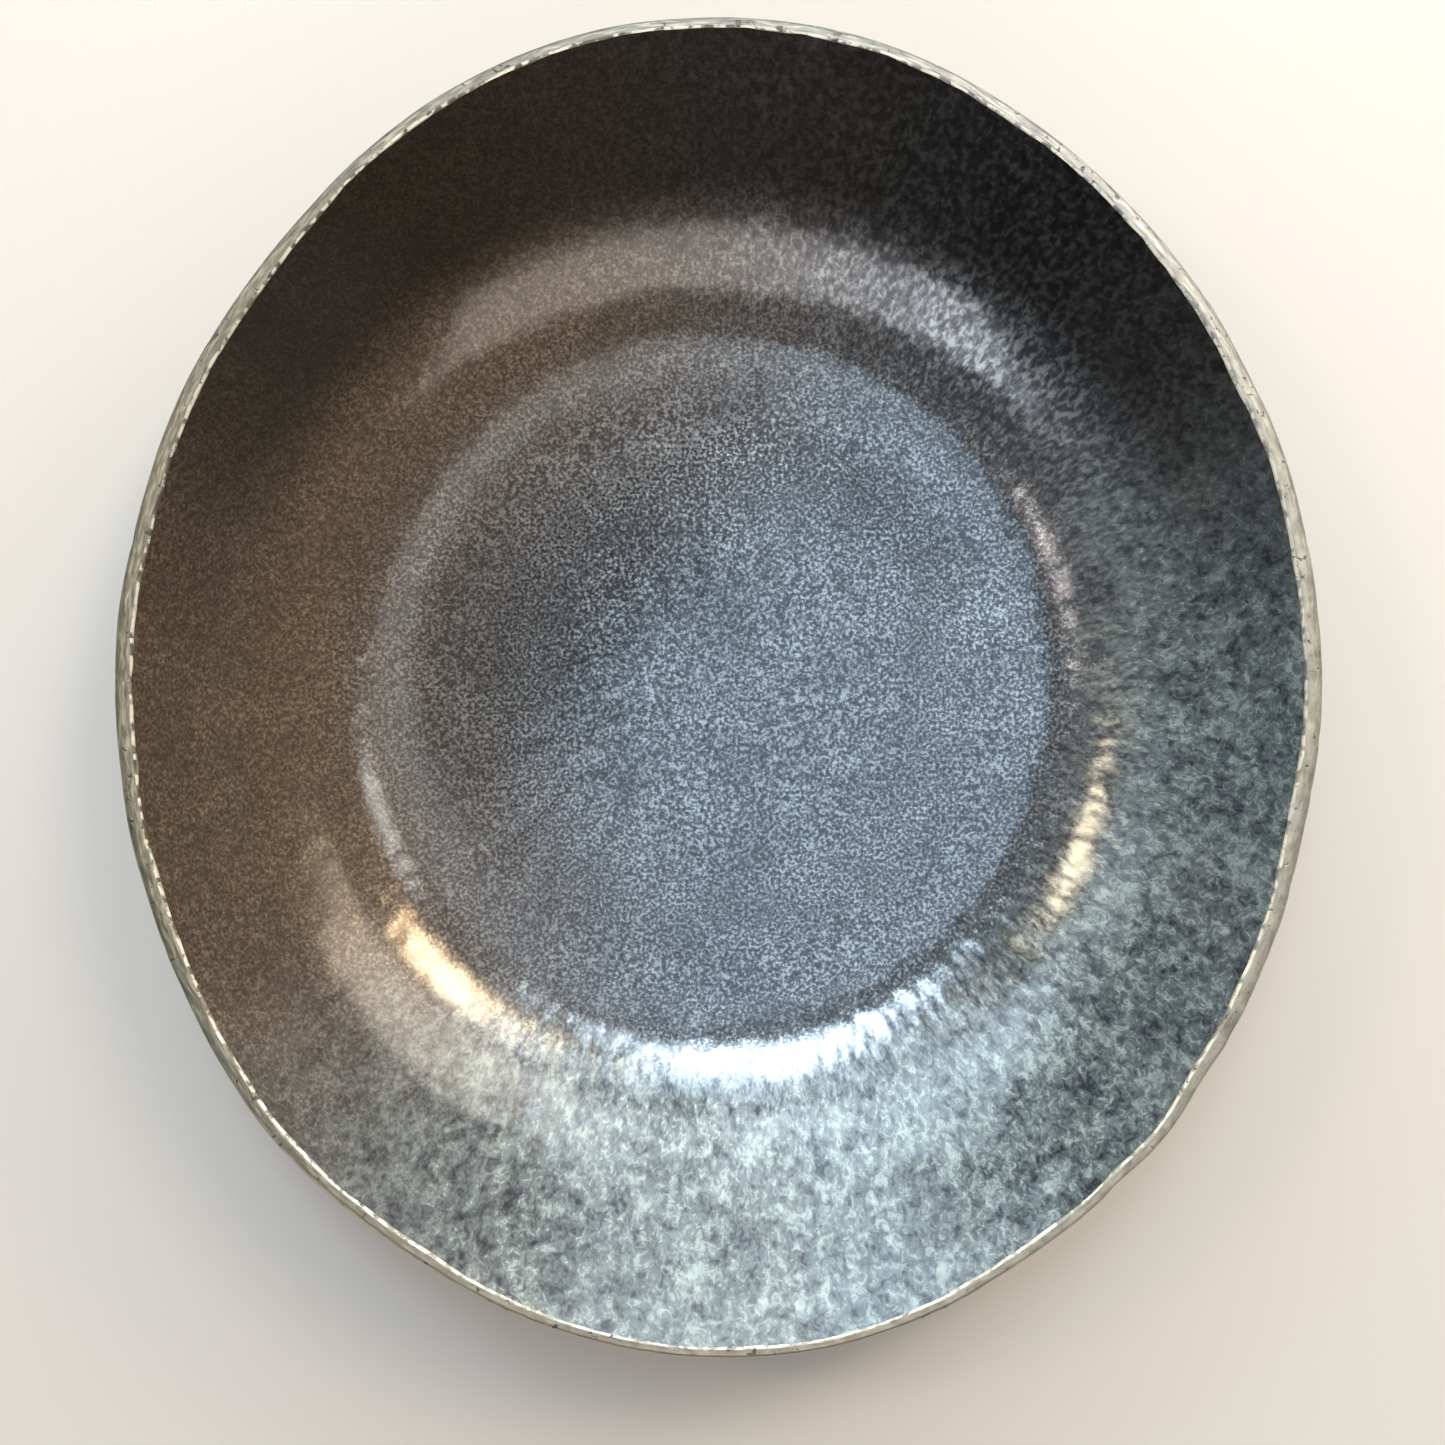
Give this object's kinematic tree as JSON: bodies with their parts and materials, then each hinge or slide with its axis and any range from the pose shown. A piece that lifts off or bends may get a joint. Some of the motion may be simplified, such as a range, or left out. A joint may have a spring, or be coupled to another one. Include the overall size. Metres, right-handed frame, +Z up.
{
  "type": "serving platter",
  "caption": "Wide, shallow stoneware serving platter drawn out to a hand-shaped oval, with dark metallic glaze, a paler lip and a bare clay foot ring.",
  "frame": {"origin": "middle of the plane that the foot ring rests on, under the centre of the oval outline", "axes": "+X across the width, +Y along the length, +Z up out of the well"},
  "size_m": [0.316, 0.35, 0.07],
  "materials": {
    "bare_clay": "bare fired stoneware, matte and slightly gritty",
    "inner_glaze": "dark gunmetal crystalline glaze, satin, with pale blue-grey flecks and short runs",
    "lip_glaze": "thin pewter-grey glaze broken over the lip, satin, with small pits",
    "outer_glaze": "dark gunmetal glaze, satin, over faint throwing lines"
  },
  "bodies": {
    "root": {"clay_body": "bare_clay", "foot_ring": "bare_clay", "inner_glaze": "inner_glaze", "rim_glaze": "lip_glaze", "outer_glaze": "outer_glaze", "base_glaze": "outer_glaze"}
  },
  "joints": []
}
